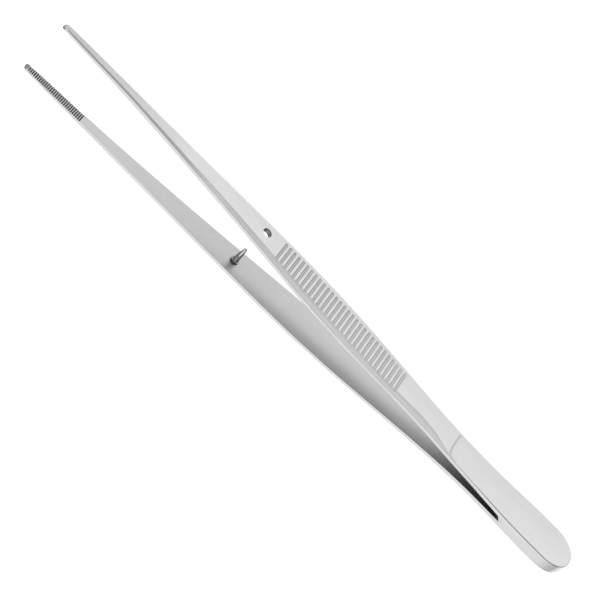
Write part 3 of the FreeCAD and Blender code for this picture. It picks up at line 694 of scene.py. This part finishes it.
def pin_profile():
    """The guide pin's radius and height, from the shank's outer end to the nose's round end.
    Heights run along the pin's axis and are zero where it meets the inner face."""
    quarter = np.linspace(0, math.pi / 2, 5)
    flare = np.linspace(0, 1, 5)
    share = np.linspace(0.08, 1, 9)
    nose = quarter[1:-1]
    shank, long, collar = SHANK_RADIUS, SHANK_LENGTH, COLLAR_RADIUS
    edge_from, flare_end = COLLAR_HEIGHT - COLLAR_EDGE, COLLAR_HEIGHT + FLARE_UP
    cone_long = PIN_LENGTH - CONE_END - flare_end
    profile = [
        # the shank's end, its broken corner and its wall
        ([0.25, 0.5, shank - 0.05], [long, long - 0.005, long - 0.02]),
        ([shank - 0.015, shank, shank, shank], [long - 0.05, long - 0.1, 0.3, 0.0]),
        # under the collar, up its wall and over its rounded edge
        ([1.0, collar - 0.03, collar, collar, collar], [0.0, 0.0, -0.03, -0.15, -0.3]),
        (collar - COLLAR_EDGE * (1 - np.cos(quarter)), -edge_from - COLLAR_EDGE * np.sin(quarter)),
        # the flare from the collar's face into the cone, the cone, and half a ball
        (CONE_RADIUS + FLARE_OUT * (1 - flare) ** 2, -COLLAR_HEIGHT - FLARE_UP * flare**2),
        (CONE_RADIUS + (CONE_END - CONE_RADIUS) * share, -flare_end - cone_long * share),
        (CONE_END * np.cos(nose), CONE_END - PIN_LENGTH - CONE_END * np.sin(nose)),
    ]
    return [np.concatenate(part) for part in zip(*profile)]


def make_pin(name):
    """The guide pin: its profile turned about its axis, which stands square on the inner face.
    Both ends close with fans of four-sided faces round a middle point."""
    shell = Shell()
    radius, height = pin_profile()
    turn = np.linspace(0, 2 * math.pi, 72, endpoint=False)
    lean = math.atan(PIN_LEAN)
    base = float(gap_curve(PLACE["guide"])) - PIN_CLEAR

    def placed(px, py, pz):
        """Leans points with the inner face and sets them on it."""
        along = px * math.cos(lean) - py * math.sin(lean)
        up = px * math.sin(lean) + py * math.cos(lean)
        return along + PLACE["guide"], up + base, pz + MID_WIDTH + PIN_SHIFT

    # Painted shade on the collar's wall and edge, and in the flare's corner.
    wall = 1 - ease(-height, COLLAR_HEIGHT - 0.08, COLLAR_HEIGHT + 0.01)
    flare = np.exp(-(((height + COLLAR_HEIGHT + 0.07) / 0.09) ** 2))
    shade = (COLLAR_SHADE * wall + FLARE_SHADE * flare)[:, None]
    x, z = (radius[:, None] * part for part in (np.cos(turn), np.sin(turn)))
    rings = shell.add(*placed(x, height[:, None], z), shade=shade)
    for one, other in zip(rings, rings[1:]):
        shell.band(one, other, turned=True)
    for ring, middle, turned in ((rings[0], SHANK_LENGTH, True), (rings[-1], -PIN_LENGTH, False)):
        pole = shell.add(*placed(np.zeros(1), np.full(1, middle), np.zeros(1)))
        one, two, three = ring[0::2], ring[1::2], np.roll(ring[0::2], -1)
        fan = (three, two, one) if turned else (one, two, three)
        shell.quads(np.repeat(pole, len(one)), *fan)
    return shell.piece(name)


# Finishes


class Signal:
    """A shader socket that adds Math nodes when it is used in an expression."""

    def __init__(self, nodes, socket):
        self.nodes, self.socket = nodes, socket

    def math(self, operation, *others):
        """A Math node of this operation on the signal and the others."""
        return self.nodes.add("ShaderNodeMath", {"operation": operation}, [self, *others])

    def __add__(self, other):
        return self.math("ADD", other)

    def __mul__(self, other):
        return self.math("MULTIPLY", other)

    def __sub__(self, other):
        return self.math("SUBTRACT", other)

    def __rsub__(self, other):
        return self.nodes.add("ShaderNodeMath", {"operation": "SUBTRACT"}, [other, self])

    __radd__, __rmul__ = __add__, __mul__

    def spread(self, width):
        """The signal about its middle value, one half, scaled to this width."""
        return (self - 0.5) * width


class Nodes:
    """A node tree, and the one method that fills it."""

    def __init__(self, owner):
        owner.use_nodes = True
        self.tree = owner.node_tree
        self.tree.nodes.clear()

    def add(self, kind, settings=None, values=(), out=0):
        """Makes a node, sets its settings, then its sockets from values or links."""
        node = self.tree.nodes.new(kind)
        for name, value in (settings or {}).items():
            if name == "stops":
                for place, shade in value:
                    made = node.color_ramp.elements.new(place)
                    made.color = (shade, shade, shade, 1)
                node.color_ramp.elements.remove(node.color_ramp.elements[0])
                node.color_ramp.elements.remove(node.color_ramp.elements[-1])
            else:
                setattr(node, name, value)
        pairs = values.items() if isinstance(values, dict) else enumerate(values)
        for key, value in pairs:
            if isinstance(value, Signal):
                self.tree.links.new(value.socket, node.inputs[key])
            else:
                node.inputs[key].default_value = value
        return Signal(self, node.outputs[out]) if node.outputs else node

    def place(self):
        """Where a point is on its object, in metres."""
        return self.add("ShaderNodeTexCoord", out=3)

    def noise(self, place, stretch, detail=3.0, rough=0.55):
        """Noise on stretched coordinates: stretch is cells to the metre along X, Y and Z."""
        vector = self.add(
            "ShaderNodeVectorMath", {"operation": "MULTIPLY"}, [place, Vector(stretch)]
        )
        sockets = {"Vector": vector, "Scale": 1.0, "Detail": detail, "Roughness": rough}
        return self.add("ShaderNodeTexNoise", None, sockets)

    def zone(self, name):
        """A zone of polish or of painted shade that was worked out with the mesh."""
        return self.add("ShaderNodeAttribute", {"attribute_name": name}, out=2)

    def grey(self, shade, blue=None):
        """A grey of this brightness, or a bluish one where blue multiplies its blue part."""
        parts = [shade, shade, shade * blue if blue else shade]
        return self.add("ShaderNodeCombineColor", None, parts)

    def bump(self, height, strength, distance):
        """A surface direction tilted by the slope of this height."""
        sockets = {"Strength": strength, "Distance": distance, "Height": height}
        return self.add("ShaderNodeBump", None, sockets)

    def surface(self, sockets):
        """The material's shader and output."""
        shader = self.add("ShaderNodeBsdfPrincipled", None, sockets)
        self.add("ShaderNodeOutputMaterial", None, {"Surface": shader})


def satin_steel(name, tone):
    """Stainless steel as the finishing wheel leaves it: fine lines along the arms, a faint
    blasted grain, a smoother side band, and painted shade in cuts, corners and along edges, which
    is rougher."""
    material = bpy.data.materials.new(name)
    nodes = Nodes(material)
    place = nodes.place()
    polish, dark = nodes.zone("polish"), nodes.zone("shade")
    lines = nodes.noise(place, (90, 2600, 2600), detail=4.0, rough=0.6)
    grain = nodes.noise(place, (5200, 5200, 5200), detail=2.0)
    cloud = nodes.noise(place, (140, 320, 320))
    streaks = nodes.noise(place, (3200, 3200, 700), detail=2.0)
    # Polish also takes a little off the colour: painted shade on the smooth side bands, and a
    # little painted light on the inner faces, where it is below zero.
    fresh = tone + cloud.spread(0.06) + lines.spread(0.10) - polish * 0.035
    # Painted shade: the shade zone darkens the colour, unevenly along the streaks.
    shade = fresh * (1 - dark * (0.75 + streaks * 0.4))
    rough = 0.30 + cloud.spread(0.10) + lines.spread(0.06) + dark * 0.15 - polish * 0.08
    bump = nodes.bump(lines * 0.6 + grain * 0.4, 0.22, 0.00003)
    colour = nodes.grey(shade, blue=1.008)
    nodes.surface({"Base Color": colour, "Metallic": 1.0, "Roughness": rough, "Normal": bump})
    return material


def turned_steel(name, tone):
    """Polished steel from a lathe: rings too fine to see one by one, and a bright smooth skin
    that doesn't whiten at a glancing angle."""
    material = bpy.data.materials.new(name)
    nodes = Nodes(material)
    place = nodes.place()
    rings = nodes.noise(place, (300, 9000, 300), detail=2.0)
    cloud = nodes.noise(place, (900, 900, 900))
    # Painted shade: the shade zone darkens the pin's colour at its collar.
    shade = (tone + cloud.spread(0.08)) * (1 - nodes.zone("shade") * 0.95)
    rough = 0.07 + cloud.spread(0.04)
    bump = nodes.bump(rings, 0.15, 0.00002)
    sockets = {"Base Color": nodes.grey(shade, blue=1.01), "Metallic": 1.0, "Roughness": rough}
    nodes.surface({**sockets, "Normal": bump, "Specular Tint": (0.02, 0.02, 0.02, 1)})
    return material


def white_table(name):
    """White light table: a matt top with the faintest mottle, lit from below."""
    material = bpy.data.materials.new(name)
    nodes = Nodes(material)
    shade = 0.42 + nodes.noise(nodes.place(), (12, 12, 12)).spread(0.01)
    sockets = {"Base Color": nodes.grey(shade), "Roughness": 0.9}
    nodes.surface({**sockets, "Emission Color": (1, 1, 1, 1), "Emission Strength": 0.87})
    return material


# Stage


def make_table():
    """A wide flat square just under the forceps."""
    half, drop = 0.9, -0.00002
    corners = [(-half, -half, drop), (half, -half, drop), (half, half, drop), (-half, half, drop)]
    mesh = bpy.data.meshes.new("table_top")
    mesh.from_pydata(corners, [], [(0, 1, 2, 3)])
    table = bpy.data.objects.new("table_top", mesh)
    bpy.context.scene.collection.objects.link(table)
    mesh.materials.append(white_table("white_table"))


# How much dimmer the dome is at its opening and at its ends, how bright it is as a whole, and
# its brightness by height, from 0 straight below to 1 straight above.
OPENING_DIM, ENDS_DIM, GLOW = 0.38, 0.45, 1.42
GLOW_STOPS = [(0.0, 0.6), (0.49, 0.56), (0.57, 0.56), (0.68, 0.75), (0.8, 0.96), (1.0, 1.0)]


def soft_surroundings():
    """A bright dome, as in a white shooting tent, that is dimmer towards the horizon, at its two
    far ends and on the side where its opening is."""
    world = bpy.data.worlds.new("tent")
    bpy.context.scene.world = world
    nodes = Nodes(world)
    direction = nodes.add("ShaderNodeTexCoord", out=0)
    along, across, up = (
        nodes.add("ShaderNodeSeparateXYZ", None, [direction], out=axis) for axis in range(3)
    )
    opening = (across * -1).math("MAXIMUM", 0)
    dim = 1 - opening * OPENING_DIM - along * along * ENDS_DIM
    glow = nodes.add("ShaderNodeValToRGB", {"stops": GLOW_STOPS}, [up * 0.5 + 0.5])
    tent = nodes.add(
        "ShaderNodeMix",
        {"data_type": "RGBA", "blend_type": "MULTIPLY"},
        {"Factor": 1.0, 6: glow, 7: nodes.grey(dim)},  # 6 and 7 are its two colours
        out=2,
    )
    light = nodes.add("ShaderNodeBackground", None, {"Color": tent, "Strength": GLOW})
    nodes.add("ShaderNodeOutputWorld", None, {"Surface": light})


# The camera's place was worked out from the photograph: angles in degrees, the rest in mm.
CAMERA = {"rise": 47.413, "swing": 10.620, "roll": -7.891, "away": 640.292}
AIM_ALONG, AIM_ACROSS = 3.326, 0.098
FOCAL_PIXELS, FRAME_PIXELS, SENSOR = 2640.93, 600, 36.0


def make_camera():
    """Looks down at the forceps: the direction from rise and swing, a roll about it, and then
    the frame turned by 45 degrees so that the forceps lie along its diagonal."""
    rise, swing, roll = (math.radians(CAMERA[key]) for key in ("rise", "swing", "roll"))
    toward = Vector(
        (math.sin(swing) * math.cos(rise), -math.cos(swing) * math.cos(rise), math.sin(rise))
    )
    right = Vector((-math.cos(swing), -math.sin(swing), 0))
    up = toward.cross(right)
    level = right * math.cos(roll) + up * math.sin(roll)
    lift = up * math.cos(roll) - right * math.sin(roll)
    aim = Vector((AIM_ALONG, 0, MID_WIDTH)) + lift * AIM_ACROSS
    eye = (aim + toward * CAMERA["away"]) * MM
    frame_x, frame_y = (level + lift).normalized(), (lift - level).normalized()
    turn = Matrix((frame_x, frame_y, toward)).transposed().to_4x4()
    data = bpy.data.cameras.new("camera")
    data.sensor_width = SENSOR
    data.lens = FOCAL_PIXELS / FRAME_PIXELS * SENSOR
    data.clip_start, data.clip_end = 0.01, 10.0
    camera = bpy.data.objects.new("camera", data)
    camera.matrix_world = Matrix.Translation(eye) @ turn
    bpy.context.scene.collection.objects.link(camera)
    bpy.context.scene.camera = camera


# Build

root = PLACE["root"]
first_tooth = HALF_LENGTH - TOOTH_MARGIN
half_pitch = TOOTH_PITCH / 2  # moves one arm's teeth so that the two sets mesh
slot_mouth = root - ROOT_GAP  # the slot's end slants from here to each arm's own floor

pinned_arm = Arm(BORE_RADIUS, PIN_SHIFT, first_tooth, slot_mouth, root - 2 * ROOT_GAP)
holed_arm = Arm(HOLE_RADIUS, HOLE_SHIFT, first_tooth - half_pitch, slot_mouth, root)
pinned = pinned_arm.shell.piece("pinned_arm_finished")
holed = holed_arm.shell.piece("holed_arm_finished", side=-1)
pin = make_pin("guide_pin_finished")
arm_steel = satin_steel("arm_steel", 0.575)
pin_steel = turned_steel("pin_steel", 0.46)

for piece, node, slot, finish in (
    (holed, "holed_arm", "arm_steel", arm_steel),
    (pinned, "pinned_arm", "arm_steel", arm_steel),
    (pin, "guide_pin", "pin_steel", pin_steel),
):
    piece.data.materials.append(finish)
    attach(piece, "root")
    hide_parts(node)

make_table()
soft_surroundings()
make_camera()
bpy.context.scene.view_settings.view_transform = "Standard"
